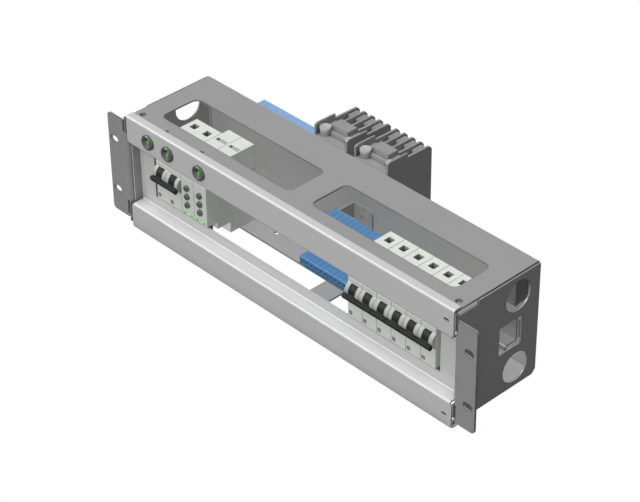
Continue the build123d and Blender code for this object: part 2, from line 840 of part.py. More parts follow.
# Contactors
def contactor_base(x_start):
    """Coil housing that hooks on the rail."""
    start = x_start + contactor_base_inset
    end = x_start + contactor_width - contactor_base_inset
    base = along_x(rear_section(contactor_head_y, contactor_base_half), start, end)
    front_edges = base.edges().filter_by(Axis.Z).group_by(Axis.Y)[0]
    return chamfer(front_edges, edge_break)


def contactor_head(x_start):
    """Contact housing: side walls, coil corner, middle block and barrier ribs, alike above and below."""
    profile = contactor_head_section()
    head = along_x(profile, x_start, x_start + contactor_width)
    half_top = contactor_head_half + 1
    for side in (-1, 1):
        head -= contactor_pocket(x_start, side, half_top)
    return head


def contactor_head_section():
    upper = [
        (contactor_head_y, contactor_head_half - 1.4),
        (contactor_head_y + contactor_chamfer, contactor_head_half),
        (contactor_step_y, contactor_head_half - 0.6),
        (contactor_step_y, contactor_rib_half),
        (contactor_front_y - 3, contactor_rib_half - 1.0),
        (contactor_front_y, contactor_rib_half - contactor_chamfer - 1.4),
    ]
    points = upper + [(y, -z) for y, z in reversed(upper)]
    return section([(y, rail_centre_z + z) for y, z in points])


def contactor_pocket(x_start, side, half_top):
    """All that is open on one side (above or below) of the contact housing."""
    x_left = x_start + contactor_wall
    x_right = x_start + contactor_width - contactor_wall
    block_left, block_right = (x_start + value for value in contactor_block_x)
    block_front, block_rear = contactor_block_y

    def span(low_half, high_half):
        return sorted((rail_centre_z + side * low_half, rail_centre_z + side * high_half))

    coil_zone = block((x_left, x_right), (0, block_front), span(contactor_floor_half, half_top))
    post_x = (x_start + coil_post_insets[0], x_start + contactor_width - coil_post_insets[1])
    for x, radius in zip(post_x, coil_post_radii):
        low, high = span(contactor_floor_half, coil_post_half)
        post = Pos(x, coil_post_y, (low + high) / 2) * Cylinder(radius, high - low)
        coil_zone -= post
    step = block((block_left, block_right), (block_front - 4.0, block_front), span(0, contactor_shoulder_half))
    coil_zone -= step
    middle_zone = block((x_left, x_right), (block_front, contactor_step_y), span(contactor_shoulder_half, half_top))
    middle_zone -= block((block_left, block_right), (block_front, block_rear), span(0, contactor_block_half))
    pocket = coil_zone + middle_zone
    spacing = (contactor_width - contactor_rib) / (contactor_rib_count - 1)
    beyond_y = contactor_front_y + 1
    channel = section(
        [
            (contactor_step_y, rail_centre_z + side * channel_floor(contactor_step_y)),
            (beyond_y, rail_centre_z + side * channel_floor(beyond_y)),
            (beyond_y, rail_centre_z + side * half_top),
            (contactor_step_y, rail_centre_z + side * half_top),
        ]
    )
    for index in range(contactor_rib_count - 1):
        left = x_start + contactor_rib + index * spacing
        pocket += along_x(channel, left, left + spacing - contactor_rib)
    return pocket


def channel_floor(y):
    """Height of a channel's sloping floor above the rail's centre line."""
    share = (y - contactor_step_y) / (contactor_front_y - contactor_step_y)
    return contactor_channel_half - contactor_floor_fall * share


def contactor_clamps(x_start):
    """Clamp plates in the channels, four above and four below."""
    spacing = (contactor_width - contactor_rib) / (contactor_rib_count - 1)
    width, depth, height = clamp_plate
    near = contactor_step_y + clamp_plate_start
    far = near + depth
    top = channel_floor(near) + height
    clamps = []
    for side in (-1, 1):
        corners = [(near, channel_floor(near)), (far, channel_floor(far)), (far, top), (near, top)]
        profile = section([(y, rail_centre_z + side * half) for y, half in corners])
        for index in range(contactor_rib_count - 1):
            x = x_start + contactor_rib / 2 + (index + 0.5) * spacing
            clamps.append(along_x(profile, x - width / 2, x + width / 2))
    return Compound(clamps)


# Build and write every piece
os.makedirs("parts", exist_ok=True)

right_plate = side_plate_right()
save("right_side_plate", right_plate)
save("left_side_plate", mirror(right_plate, about=Plane.YZ))
save("chassis_shell", chassis_shell())
save("front_plate", front_plate())
save("cross_strap", cross_strap())
save("carrier_bar", carrier_bar())
save("wall_bracket", wall_bracket())
save("front_rail", front_rail())
save("rear_rail", rear_rail())

save("double_breaker", breaker(left_group_x, 2))
save("double_handle", handle(left_group_x, 2))
for number in range(pole_count):
    pole_x = right_group_x + number * module_pitch
    save(f"breaker_{number + 1}", breaker(pole_x, 1))
    save(f"handle_{number + 1}", handle(pole_x, 1))
pole_middles = [left_group_x + (index + 0.5) * module_pitch for index in range(2)]
pole_middles += [right_group_x + (index + 0.5) * module_pitch for index in range(pole_count)]
save("breaker_clamps", terminal_clamps(pole_middles))

relay_middles = []
for number in range(2):
    relay_x = left_group_x + (2 + number) * module_pitch
    relay_middles.append(relay_x + module_pitch / 2)
    save(f"relay_{number + 1}", relay(relay_x))
    for knob_number, knob_height_z in enumerate(knob_z):
        save(f"relay_{number + 1}_knob_{knob_number + 1}", relay_knob(relay_middles[-1], knob_height_z))
save("relay_lamps", relay_lamps(relay_middles))

save("front_terminals", front_terminals())
for number, x in enumerate(pilot_x):
    save(f"pilot_light_{number + 1}", pilot_body(x))
save("pilot_lamps", Compound([pilot_lamp(x) for x in pilot_x]))
save("pilot_nuts", Compound([pilot_nut(x) for x in pilot_x]))

save("rear_terminals", rear_terminals())
save("end_stop", end_stop())
for number, x in enumerate(contactor_x):
    save(f"contactor_{number + 1}_base", contactor_base(x))
    save(f"contactor_{number + 1}_head", contactor_head(x))
    save(f"contactor_{number + 1}_clamps", contactor_clamps(x))
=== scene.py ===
import bpy
import math
from mathutils import Euler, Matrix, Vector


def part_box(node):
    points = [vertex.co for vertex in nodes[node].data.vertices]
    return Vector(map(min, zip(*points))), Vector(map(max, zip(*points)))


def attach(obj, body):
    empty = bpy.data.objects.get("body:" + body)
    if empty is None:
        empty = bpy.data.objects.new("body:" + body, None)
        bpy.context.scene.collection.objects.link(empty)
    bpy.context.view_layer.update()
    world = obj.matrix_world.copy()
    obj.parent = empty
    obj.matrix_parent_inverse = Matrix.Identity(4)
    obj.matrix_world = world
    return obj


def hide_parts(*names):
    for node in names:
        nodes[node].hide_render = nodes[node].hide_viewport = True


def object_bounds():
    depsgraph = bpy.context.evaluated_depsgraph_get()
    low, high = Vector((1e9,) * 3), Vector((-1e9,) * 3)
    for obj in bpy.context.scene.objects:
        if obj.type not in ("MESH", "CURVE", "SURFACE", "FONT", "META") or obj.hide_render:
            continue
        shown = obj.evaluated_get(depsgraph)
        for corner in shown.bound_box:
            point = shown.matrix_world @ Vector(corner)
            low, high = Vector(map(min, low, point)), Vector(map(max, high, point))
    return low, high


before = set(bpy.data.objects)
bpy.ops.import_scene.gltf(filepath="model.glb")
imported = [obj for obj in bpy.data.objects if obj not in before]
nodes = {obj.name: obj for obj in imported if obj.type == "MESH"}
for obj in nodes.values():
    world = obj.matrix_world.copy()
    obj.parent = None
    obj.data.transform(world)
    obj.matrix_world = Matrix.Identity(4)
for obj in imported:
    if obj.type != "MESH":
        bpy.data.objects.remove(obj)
cad_box = [list(corner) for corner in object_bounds()]

# View
# A long lens looks down on the module from its front right corner.
# Its place and its slight roll were found by fitting the ears' slots and the fold lines.
bpy.ops.object.camera_add(
    location=(1.222627, -1.101764, 1.194678),
    rotation=Euler((math.radians(54.4097), math.radians(0.5798), math.radians(46.3641))),
)
camera = bpy.context.object
camera.data.sensor_width = 36.0
camera.data.lens = 126.6266
camera.data.shift_x = 0.00241
camera.data.shift_y = -0.00324
camera.data.clip_end = 50.0
bpy.context.scene.camera = camera
bpy.context.scene.view_settings.view_transform = "Standard"

# Light
# A broad lamp high in front and a fill without shadows from the same side light the module evenly,
# inside too. A third lamp reaches the back and the left, and one that shows only as gloss draws the
# light lines along the folds. The sky shows white behind the module.
for lamp_name, tilt, lean, strength, softness in (
    ("key", 31.1, 7.5, 0.75, 50),
    ("fill", 31.1, 7.5, 2.77, 30),
    ("back", -49.8, -113.2, 1.5, 60),
    ("edge", 34.1, -47.7, 2.4, 20),
):
    bpy.ops.object.light_add(type="SUN", rotation=Euler((math.radians(tilt), math.radians(lean), 0)))
    lamp = bpy.context.object
    lamp.name = f"{lamp_name} lamp"
    lamp.data.energy = strength
    lamp.data.angle = math.radians(softness)
    lamp.data.use_shadow = lamp_name == "key"
    lamp.visible_diffuse = lamp_name != "edge"

sky = bpy.data.worlds.new("studio sky")
bpy.context.scene.world = sky
sky.use_nodes = True
sky_tree = sky.node_tree
sky_light = sky_tree.nodes["Background"]
sky_light.inputs["Color"].default_value = (1, 1, 1, 1)
sky_light.inputs["Strength"].default_value = 0.07
sky_white = sky_tree.nodes.new("ShaderNodeBackground")
sky_white.inputs["Color"].default_value = (1, 1, 1, 1)
sky_white.inputs["Strength"].default_value = 1.0
sky_rays = sky_tree.nodes.new("ShaderNodeLightPath")
sky_mix = sky_tree.nodes.new("ShaderNodeMixShader")
sky_tree.links.new(sky_rays.outputs["Is Camera Ray"], sky_mix.inputs["Fac"])
sky_tree.links.new(sky_light.outputs[0], sky_mix.inputs[1])
sky_tree.links.new(sky_white.outputs[0], sky_mix.inputs[2])
sky_tree.links.new(sky_mix.outputs[0], sky_tree.nodes["World Output"].inputs["Surface"])

# Floor
# A plain white floor that the lower front strip stands on. It runs out of sight on all sides.
# It shows almost white where the module shades it.
floor_z = cad_box[0][2]
bpy.ops.mesh.primitive_plane_add(size=60, location=(0, 0, floor_z))
floor = bpy.context.object
floor.name = "floor"
floor_paint = bpy.data.materials.new("floor white")
floor_paint.use_nodes = True
floor_tree = floor_paint.node_tree
floor_shader = floor_tree.nodes["Principled BSDF"]
floor_shader.inputs["Base Color"].default_value = (0.12, 0.12, 0.12, 1)
floor_shader.inputs["Roughness"].default_value = 1.0
floor_shader.inputs["Specular IOR Level"].default_value = 0.0
floor_glow = floor_tree.nodes.new("ShaderNodeEmission")
floor_glow.inputs["Color"].default_value = (1, 1, 1, 1)
floor_glow.inputs["Strength"].default_value = 0.84
floor_seen = floor_tree.nodes.new("ShaderNodeBsdfDiffuse")
floor_seen.inputs["Color"].default_value = (0.17, 0.17, 0.17, 1)
floor_sum = floor_tree.nodes.new("ShaderNodeAddShader")
floor_rays = floor_tree.nodes.new("ShaderNodeLightPath")
floor_mix = floor_tree.nodes.new("ShaderNodeMixShader")
floor_tree.links.new(floor_glow.outputs[0], floor_sum.inputs[0])
floor_tree.links.new(floor_seen.outputs[0], floor_sum.inputs[1])
floor_tree.links.new(floor_rays.outputs["Is Camera Ray"], floor_mix.inputs["Fac"])
floor_tree.links.new(floor_shader.outputs[0], floor_mix.inputs[1])
floor_tree.links.new(floor_sum.outputs[0], floor_mix.inputs[2])
floor_tree.links.new(floor_mix.outputs[0], floor_tree.nodes["Material Output"].inputs["Surface"])
floor.data.materials.append(floor_paint)

# Chassis: shell, side plates and cross strap
# Folded steel sheet under a plain grey satin paint with a fine grain.
# Painted shade darkens its holes and creases, and its sharp edges show as darker lines.


def noise(tree, place, scale, detail):
    """Fine clouds in the paint or plastic, fixed to the piece."""
    clouds = tree.nodes.new("ShaderNodeTexNoise")
    clouds.inputs["Scale"].default_value = scale
    clouds.inputs["Detail"].default_value = detail
    tree.links.new(place, clouds.inputs["Vector"])
    return clouds.outputs["Fac"]


def spread(tree, value, low, high, start=0.0, end=1.0):
    """Turn a value that runs from start to end into one that runs from low to high."""
    scale = tree.nodes.new("ShaderNodeMapRange")
    scale.inputs["From Min"].default_value = start
    scale.inputs["From Max"].default_value = end
    scale.inputs["To Min"].default_value = low
    scale.inputs["To Max"].default_value = high
    tree.links.new(value, scale.inputs["Value"])
    return scale.outputs[0]


def product(tree, first, second):
    """Multiply two shades."""
    times = tree.nodes.new("ShaderNodeMath")
    times.operation = "MULTIPLY"
    tree.links.new(first, times.inputs[0])
    tree.links.new(second, times.inputs[1])
    return times.outputs[0]


def along(tree, direction, axis):
    """One axis of a place or of a face's direction."""
    axes = tree.nodes.new("ShaderNodeSeparateXYZ")
    tree.links.new(direction, axes.inputs[0])
    return axes.outputs[axis]


def painted_crease_shade_and_edge_lines(tree, reach, crease_shade, edge_shade, edge_width=0.0005):
    """Painted shade for holes, joints and creases, where little light reaches, and darker lines along
    sharp edges.
    """
    hollow = tree.nodes.new("ShaderNodeAmbientOcclusion")
    hollow.samples = 6
    hollow.inputs["Distance"].default_value = reach
    face = tree.nodes.new("ShaderNodeNewGeometry")
    rounded = tree.nodes.new("ShaderNodeBevel")
    rounded.samples = 4
    rounded.inputs["Radius"].default_value = edge_width
    turn = tree.nodes.new("ShaderNodeVectorMath")
    turn.operation = "DOT_PRODUCT"
    tree.links.new(face.outputs["Normal"], turn.inputs[0])
    tree.links.new(rounded.outputs[0], turn.inputs[1])
    # Painted shade: the less open a spot is, the darker its colour.
    creases = spread(tree, hollow.outputs["AO"], crease_shade, 1.0, start=0.2, end=0.7)
    edges = spread(tree, turn.outputs["Value"], edge_shade, 1.0, start=0.85, end=0.97)
    return product(tree, creases, edges)


def coloured(tree, colour, shade):
    """Give the surface its colour, made lighter and darker by a shade."""
    tint = tree.nodes.new("ShaderNodeVectorMath")
    tint.operation = "SCALE"
    tint.inputs[0].default_value = colour
    tree.links.new(shade, tint.inputs["Scale"])
    tree.links.new(tint.outputs[0], tree.nodes["Principled BSDF"].inputs["Base Color"])


def grained(tree, height, strength, depth, edge_radius=0.0):
    """Give the surface a fine relief, and edges that look slightly rounded."""
    relief = tree.nodes.new("ShaderNodeBump")
    relief.inputs["Strength"].default_value = strength
    relief.inputs["Distance"].default_value = depth
    tree.links.new(height, relief.inputs["Height"])
    if edge_radius:
        edge = tree.nodes.new("ShaderNodeBevel")
        edge.samples = 4
        edge.inputs["Radius"].default_value = edge_radius
        tree.links.new(edge.outputs[0], relief.inputs["Normal"])
    tree.links.new(relief.outputs[0], tree.nodes["Principled BSDF"].inputs["Normal"])


def painted_sheet(
    name,
    colour,
    roughness=0.42,
    grain=0.05,
    crease_reach=0.005,
    crease_shade=0.3,
    edge_shade=0.2,
    edge_width=0.0018,
    right_face_painted_shade=1.0,
):
    """Satin paint on sheet metal, with a fine grain, painted shade in its creases and darker sharp edges.
    Faces turned to the right can get a painted shade.
    """
    paint = bpy.data.materials.new(name)
    paint.use_nodes = True
    tree = paint.node_tree
    shader = tree.nodes["Principled BSDF"]
    place = tree.nodes.new("ShaderNodeTexCoord").outputs["Object"]
    face = tree.nodes.new("ShaderNodeNewGeometry").outputs["Normal"]
    grain_noise = noise(tree, place, scale=1400, detail=3)
    cloud_noise = noise(tree, place, scale=14, detail=4)
    speckle = spread(tree, grain_noise, 1 - grain, 1 + grain)
    clouds = spread(tree, cloud_noise, 0.97, 1.03)
    # Painted shade in creases and holes, darker sharp edges, and a painted shade on faces turned to the
    # right (+X).
    painted_shade_and_edges = painted_crease_shade_and_edge_lines(tree, crease_reach, crease_shade, edge_shade, edge_width)
    right_face_shade_factor = spread(tree, along(tree, face, "X"), 1.0, right_face_painted_shade, start=0.6, end=0.95)
    shade = product(tree, product(tree, product(tree, speckle, clouds), painted_shade_and_edges), right_face_shade_factor)
    coloured(tree, colour, shade)
    gloss = spread(tree, cloud_noise, roughness - 0.06, roughness + 0.06)
    tree.links.new(gloss, shader.inputs["Roughness"])
    grained(tree, grain_noise, strength=0.12, depth=0.0002, edge_radius=0.0004)
    return paint


def finish_in(node_names, material):
    """Give CAD pieces their finish."""
    for node_name in node_names:
        node_mesh = nodes[node_name].data
        if not node_mesh.materials:
            node_mesh.materials.append(material)
        for index in range(len(node_mesh.materials)):
            node_mesh.materials[index] = material


chassis_grey = painted_sheet("chassis grey paint", (0.327, 0.327, 0.327))
finish_in(["chassis_shell", "left_side_plate", "right_side_plate", "cross_strap"], chassis_grey)

# Front plate
# One folded sheet of the same steel in a lighter grey paint: two strips and the set-back middle with
# its cut-out. Its upper flange lies on the chassis' top panel.
# Its painted shade reaches far from the folds, and its faces turned to the right get a painted shade as
# well.
front_grey = painted_sheet(
    "front light grey paint",
    (0.61, 0.61, 0.61),
    roughness=0.36,
    grain=0.03,
    crease_reach=0.022,
    crease_shade=0.4,
    edge_shade=0.4,
    edge_width=0.001,
    right_face_painted_shade=0.6,
)
finish_in(["front_plate"], front_grey)

# Rails and bracket
# Zinc-plated steel strip, dull and slightly mottled. The rails hook the devices by their lips.
# The bracket joins the carrier bar to the rear wall.


def zinc_plate(name, colour, metallic=0.15):
    """Zinc plating: metal with soft streaks along the strip and a faint mottle."""
    plating = bpy.data.materials.new(name)
    plating.use_nodes = True
    tree = plating.node_tree
    shader = tree.nodes["Principled BSDF"]
    shader.inputs["Metallic"].default_value = metallic
    place = tree.nodes.new("ShaderNodeTexCoord").outputs["Object"]
    stretch = tree.nodes.new("ShaderNodeMapping")
    stretch.inputs["Scale"].default_value = (0.04, 1, 1)
    tree.links.new(place, stretch.inputs["Vector"])
    streak = noise(tree, stretch.outputs[0], scale=900, detail=3)
    mottle = noise(tree, place, scale=160, detail=4)
    both = tree.nodes.new("ShaderNodeMath")
    both.operation = "ADD"
    tree.links.new(streak, both.inputs[0])
    tree.links.new(mottle, both.inputs[1])
    plain_shade = spread(tree, both.outputs[0], 0.9, 1.1, start=0.6, end=1.4)
    # Painted shade in creases and holes, and darker sharp edges.
    painted_shade_and_edges = painted_crease_shade_and_edge_lines(tree, reach=0.004, crease_shade=0.4, edge_shade=0.7)
    coloured(tree, colour, product(tree, plain_shade, painted_shade_and_edges))
    tree.links.new(spread(tree, mottle, 0.32, 0.5), shader.inputs["Roughness"])
    grained(tree, streak, strength=0.08, depth=0.0001)
    return plating


rail_zinc = zinc_plate("zinc on the rails", (0.24, 0.24, 0.238))
finish_in(["front_rail", "rear_rail"], rail_zinc)
support_zinc = zinc_plate("dull zinc on the carrier and its bracket", (0.32, 0.32, 0.318), metallic=0.1)
finish_in(["carrier_bar", "wall_bracket"], support_zinc)

# Carrier bar
# A flat zinc-plated bar with its ends folded back onto the side plates. It stands lower than the rail
# that is fixed to it, so that the rail hides it from above.


def pick_faces(piece, wanted):
    """In edit mode, select the faces of a piece that pass a test on their middle and normal."""
    bpy.ops.object.mode_set(mode="EDIT")
    bpy.ops.mesh.select_mode(type="FACE")
    bpy.ops.mesh.select_all(action="DESELECT")
    bpy.ops.object.mode_set(mode="OBJECT")
    for face in piece.data.polygons:
        face.select = wanted(face.center, face.normal)
    bpy.ops.object.mode_set(mode="EDIT")


def add_block(name, low, high):
    """Add a plain block between two corners, with its place in its mesh, to be shaped further."""
    bpy.ops.object.select_all(action="DESELECT")
    bpy.ops.mesh.primitive_cube_add(
        size=1,
        location=[(a + b) / 2 for a, b in zip(low, high)],
        scale=[b - a for a, b in zip(low, high)],
    )
    block = bpy.context.object
    block.name = name
    bpy.ops.object.transform_apply(location=True, rotation=True, scale=True)
    return block


def soften(piece, width, segments=2):
    """Round off all edges of a piece."""
    rounding = piece.modifiers.new("soft edge", "BEVEL")
    rounding.width = width
    rounding.segments = segments
    bpy.ops.object.modifier_apply(modifier=rounding.name)


bar_low, bar_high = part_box("carrier_bar")
bar_bottom_z = -0.009
bar_top_z = 0.011
bar_thickness = 0.0015
bar_tab = 0.014
bar_fold_x = bar_high[0] - bar_thickness
carrier = add_block(
    "low_carrier_bar",
    (bar_low[0], bar_low[1], bar_bottom_z),
    (bar_high[0], bar_low[1] + bar_thickness, bar_top_z),
)
bpy.ops.object.mode_set(mode="EDIT")
for side in (-1, 1):
    bpy.ops.mesh.select_all(action="SELECT")
    bpy.ops.mesh.bisect(plane_co=(side * bar_fold_x, 0, 0), plane_no=(1, 0, 0))
pick_faces(carrier, lambda middle, normal: normal.y > 0.9 and abs(middle.x) > bar_fold_x)
bpy.ops.mesh.extrude_region_move(TRANSFORM_OT_translate={"value": (0, bar_tab - bar_thickness, 0)})
bpy.ops.object.mode_set(mode="OBJECT")
soften(carrier, 0.0003)
carrier.data.materials.append(support_zinc)
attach(carrier, "chassis")
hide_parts("carrier_bar")

# Clamps and nuts
# Brighter zinc-plated steel: the breakers' clamp screws, the contactors' clamp plates and the hex nuts
# behind the pilot lights.
clamp_zinc = zinc_plate("zinc on the clamps", (0.42, 0.42, 0.42), metallic=0.4)
finish_in(["breaker_clamps", "contactor_1_clamps", "contactor_2_clamps", "pilot_nuts"], clamp_zinc)

# Breakers and relays
# Light grey mouldings with a faint spark-eroded texture, hooked side by side on the front rail.
# The breakers' cheek surfaces beside their levers get a painted shade, and their wire entries a deep
# painted shade.


def moulding(
    name,
    colour,
    roughness=0.5,
    grain=0.03,
    specular=0.5,
    crease_reach=0.007,
    crease_shade=0.3,
    edge_shade=0.75,
    local_shade=None,
):
    """Moulded plastic with a fine eroded texture, softened edges, painted shade in joints and recesses,
    and darker sharp edges.
    """
    plastic = bpy.data.materials.new(name)
    plastic.use_nodes = True
    tree = plastic.node_tree
    shader = tree.nodes["Principled BSDF"]
    shader.inputs["Specular IOR Level"].default_value = specular
    place = tree.nodes.new("ShaderNodeTexCoord").outputs["Object"]
    texture = noise(tree, place, scale=2600, detail=2)
    flow = noise(tree, place, scale=70, detail=3)
    # Painted shade in joints and recesses, and darker sharp edges.
    painted_shade_and_edges = painted_crease_shade_and_edge_lines(tree, crease_reach, crease_shade, edge_shade)
    shade = product(tree, spread(tree, flow, 1 - grain, 1 + grain), painted_shade_and_edges)
    # Some mouldings take a further painted shade or highlight here.
    if local_shade:
        shade = product(tree, shade, local_shade(tree, place))
    coloured(tree, colour, shade)
    gloss = spread(tree, flow, roughness - 0.07, roughness + 0.07)
    tree.links.new(gloss, shader.inputs["Roughness"])
    grained(tree, texture, strength=0.1, depth=0.0001, edge_radius=0.0003)
    return plastic


def painted_cheek_shade(tree, place):
    """Painted shade in front of the breakers' fronts, where only the cheek surfaces beside the levers
    reach.
    """
    return spread(tree, along(tree, place, "Y"), 0.6, 1.0, start=0.0106, end=0.0111)


device_grey = moulding("light grey moulding", (0.72, 0.74, 0.69))
finish_in(["relay_1", "relay_2"], device_grey)
# A deep, wide-reaching painted shade darkens the wire entries, and the cheek surfaces beside the levers
# get a painted shade.
breaker_grey = moulding(
    "light grey breaker moulding",
    (0.72, 0.74, 0.69),
    specular=0.15,
    crease_reach=0.010,
    crease_shade=0.14,
    local_shade=painted_cheek_shade,
)
breaker_names = [f"breaker_{number}" for number in range(1, 7)]
finish_in(["double_breaker"] + breaker_names, breaker_grey)

# Breaker levers
# Black mouldings that turn on a pin, one per pole. The two-pole breaker's are one piece with a shared
# bar.
lever_black = moulding("black moulding", (0.018, 0.018, 0.019), roughness=0.6, grain=0.1, specular=0.2)
lever_names = [f"handle_{number}" for number in range(1, 7)]
finish_in(["double_handle"] + lever_names, lever_black)

# Relay knobs
# Small dark grey knobs on the relays' fronts, moulded with a slot for the screwdriver.
# Each turns on its own short shaft.
knob_grey = moulding("dark grey knob moulding", (0.11, 0.11, 0.11), roughness=0.45)
knob_names = [f"relay_{relay}_knob_{knob}" for relay in (1, 2) for knob in (1, 2, 3)]
finish_in(knob_names, knob_grey)

# Green lamps
# Clear green lenses, lit from behind. They are pressed into the relays' fronts and into the pilot
# lights' dishes.
lamp_green = moulding("green lens", (0.075, 0.58, 0.02), roughness=0.25, grain=0.1)
lamp_shader = lamp_green.node_tree.nodes["Principled BSDF"]
lamp_shader.inputs["Emission Color"].default_value = (0.05, 0.6, 0.01, 1)
lamp_shader.inputs["Emission Strength"].default_value = 0.25
finish_in(["relay_lamps", "pilot_lamps"], lamp_green)

# Pilot lights
# Smooth grey moulded bezels with a dished front.
# Each is held by a nut behind the upper strip.
bezel_grey = moulding("smooth bezel moulding", (0.12, 0.12, 0.12), roughness=0.3, grain=0.04, specular=0.3)
finish_in(["pilot_light_1", "pilot_light_2", "pilot_light_3"], bezel_grey)

# Terminal blocks
# Blue mouldings on the front rail, and lighter blue ones with their end stop on the rear rail.
# The front ones have a painted highlight along the top edge of the nose, and their step is painted as a
# dark line.


def nose_highlight_and_step_line(tree, place):
    """Up the noses' fronts: dark at the step, then nearly plain, then a painted highlight at the top."""
    line = tree.nodes.new("ShaderNodeValToRGB")
    line.color_ramp.interpolation = "CONSTANT"
    step_stop, plain_stop = line.color_ramp.elements
    step_stop.position = 0.0
    step_stop.color = (0.3, 0.3, 0.3, 1)
    plain_stop.position = 0.44
    plain_stop.color = (0.9, 0.9, 0.9, 1)
    for position in (0.94, 1.0):
        highlight_stop = line.color_ramp.elements.new(position)
        highlight_stop.color = (1.9, 1.9, 1.9, 1)
    in_front = tree.nodes.new("ShaderNodeMath")
    in_front.operation = "LESS_THAN"
    in_front.inputs[1].default_value = 0.0105
    only_noses = tree.nodes.new("ShaderNodeMix")
    only_noses.inputs["A"].default_value = 1.0
    height = spread(tree, along(tree, place, "Z"), 0.0, 1.0, start=0.0, end=0.0131)
    tree.links.new(height, line.inputs[0])
    tree.links.new(along(tree, place, "Y"), in_front.inputs[0])
    tree.links.new(in_front.outputs[0], only_noses.inputs["Factor"])
    tree.links.new(line.outputs[0], only_noses.inputs["B"])
    return only_noses.outputs[0]


terminal_blue = moulding("blue moulding", (0.095, 0.24, 0.47), roughness=0.45, local_shade=nose_highlight_and_step_line)
finish_in(["front_terminals"], terminal_blue)
terminal_light_blue = moulding("light blue moulding", (0.242, 0.412, 0.686), roughness=0.45)
finish_in(["rear_terminals", "end_stop"], terminal_light_blue)

# Contactors
# Two mid-grey mouldings on the rear rail: a coil base and a ribbed contact head each.
# The head is clipped on the base, and its ribs part the clamp plates.
contactor_grey = moulding(
    "mid grey moulding", (0.3, 0.3, 0.3), roughness=0.55, grain=0.04, crease_shade=0.25, edge_shade=0.45
)
contactor_parts = [f"contactor_{number}_{part}" for number in (1, 2) for part in ("base", "head")]
finish_in(contactor_parts, contactor_grey)

# Breaker indicators
# A small dark-framed window low on each pole's front, clipped into the moulding.
# It stands a little proud of the front and shows the state of the contacts.
indicator_size = 0.0036
indicator_thickness = 0.0005
indicator_seat = 0.0001
indicator_frame = 0.0008
pane_depth = 0.0003
indicator_z = -0.0168
pole_pitch = 0.018
nose_y = 0.0113
pole_starts = [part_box("double_breaker")[0][0] + step * pole_pitch for step in range(2)]
pole_starts += [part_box(name)[0][0] for name in breaker_names]
indicator_x = pole_starts[0] + 0.0033
indicator_half = indicator_size / 2
indicator_rear_y = nose_y + indicator_seat
indicator_dark = moulding("dark grey indicator frame", (0.1, 0.1, 0.1), roughness=0.45)
indicator_pane = moulding("pale indicator pane", (0.5, 0.52, 0.5), roughness=0.25)
indicator = add_block(
    "indicator_1",
    (indicator_x - indicator_half, indicator_rear_y - indicator_thickness, indicator_z - indicator_half),
    (indicator_x + indicator_half, indicator_rear_y, indicator_z + indicator_half),
)
pick_faces(indicator, lambda middle, normal: normal.y < -0.9)
bpy.ops.mesh.inset(thickness=indicator_frame)
bpy.ops.mesh.extrude_region_move(TRANSFORM_OT_translate={"value": (0, pane_depth, 0)})
bpy.ops.object.mode_set(mode="OBJECT")
indicator.data.materials.append(indicator_dark)
indicator.data.materials.append(indicator_pane)
for face in indicator.data.polygons:
    in_middle = abs(face.center.z - indicator_z) < 0.0002 and abs(face.center.x - indicator_x) < 0.0002
    face.material_index = 1 if in_middle and face.normal.y < -0.9 else 0
soften(indicator, 0.0001)
for number, pole_start in enumerate(pole_starts, start=1):
    window = indicator
    if number > 1:
        bpy.ops.object.select_all(action="DESELECT")
        indicator.select_set(True)
        bpy.context.view_layer.objects.active = indicator
        bpy.ops.object.duplicate()
        window = bpy.context.object
        window.location.x = pole_start - pole_starts[0]
        bpy.ops.object.transform_apply(location=True, rotation=True, scale=True)
    window.name = f"indicator_{number}"
    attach(window, "chassis")

# Junction box
# A dark grey moulded box with a lid, screwed to the rear wall behind the right plate's upper hole.
# Wires from that hole end in it.
junction_low = (0.1745, 0.0886, 0.0165)
junction_high = (0.2039, 0.1050, 0.0575)
lid_rear_y = 0.0925
lid_overhang = 0.0006
lid_border = 0.003
lid_dish = 0.0008
junction_grey = moulding("dark grey box moulding", (0.15, 0.15, 0.15), roughness=0.55)
junction_box = add_block("junction_box", junction_low, junction_high)
bpy.ops.object.mode_set(mode="EDIT")
bpy.ops.mesh.select_all(action="SELECT")
bpy.ops.mesh.bisect(plane_co=(0, lid_rear_y, 0), plane_no=(0, 1, 0))
pick_faces(junction_box, lambda middle, normal: middle.y < lid_rear_y)
bpy.ops.mesh.extrude_region_shrink_fatten(TRANSFORM_OT_shrink_fatten={"value": lid_overhang})
pick_faces(junction_box, lambda middle, normal: normal.y < -0.9 and middle.y < junction_low[1] + 0.0001)
bpy.ops.mesh.inset(thickness=lid_border)
bpy.ops.mesh.extrude_region_move(TRANSFORM_OT_translate={"value": (0, lid_dish, 0)})
bpy.ops.object.mode_set(mode="OBJECT")
soften(junction_box, 0.0003)
junction_box.data.materials.append(junction_grey)
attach(junction_box, "chassis")

# Dust seals
# Black foam strips glued behind the front plate's cut-out, just under the devices' noses.
# Their upper edges are pressed round.
dull_black = moulding("dull black", (0.05, 0.05, 0.05), roughness=0.85, grain=0.2)
cutout_half = 0.1862
left_devices_width = 0.0722
right_devices_start = 0.0756
right_seal_overlap = 0.002
seal_y = (0.0160, 0.0182)
seal_z = (-0.0325, -0.0221)
for seal_name, seal_start, seal_end in (
    ("left_dust_seal", -cutout_half, -cutout_half + left_devices_width),
    ("right_dust_seal", right_devices_start, cutout_half + right_seal_overlap),
):
    seal = add_block(seal_name, (seal_start, seal_y[0], seal_z[0]), (seal_end, seal_y[1], seal_z[1]))
    pick_faces(seal, lambda middle, normal: normal.z > 0.9)
    bpy.ops.mesh.bevel(offset=0.0006, segments=3)
    bpy.ops.object.mode_set(mode="OBJECT")
    soften(seal, 0.0002)
    seal.data.materials.append(dull_black)
    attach(seal, "chassis")

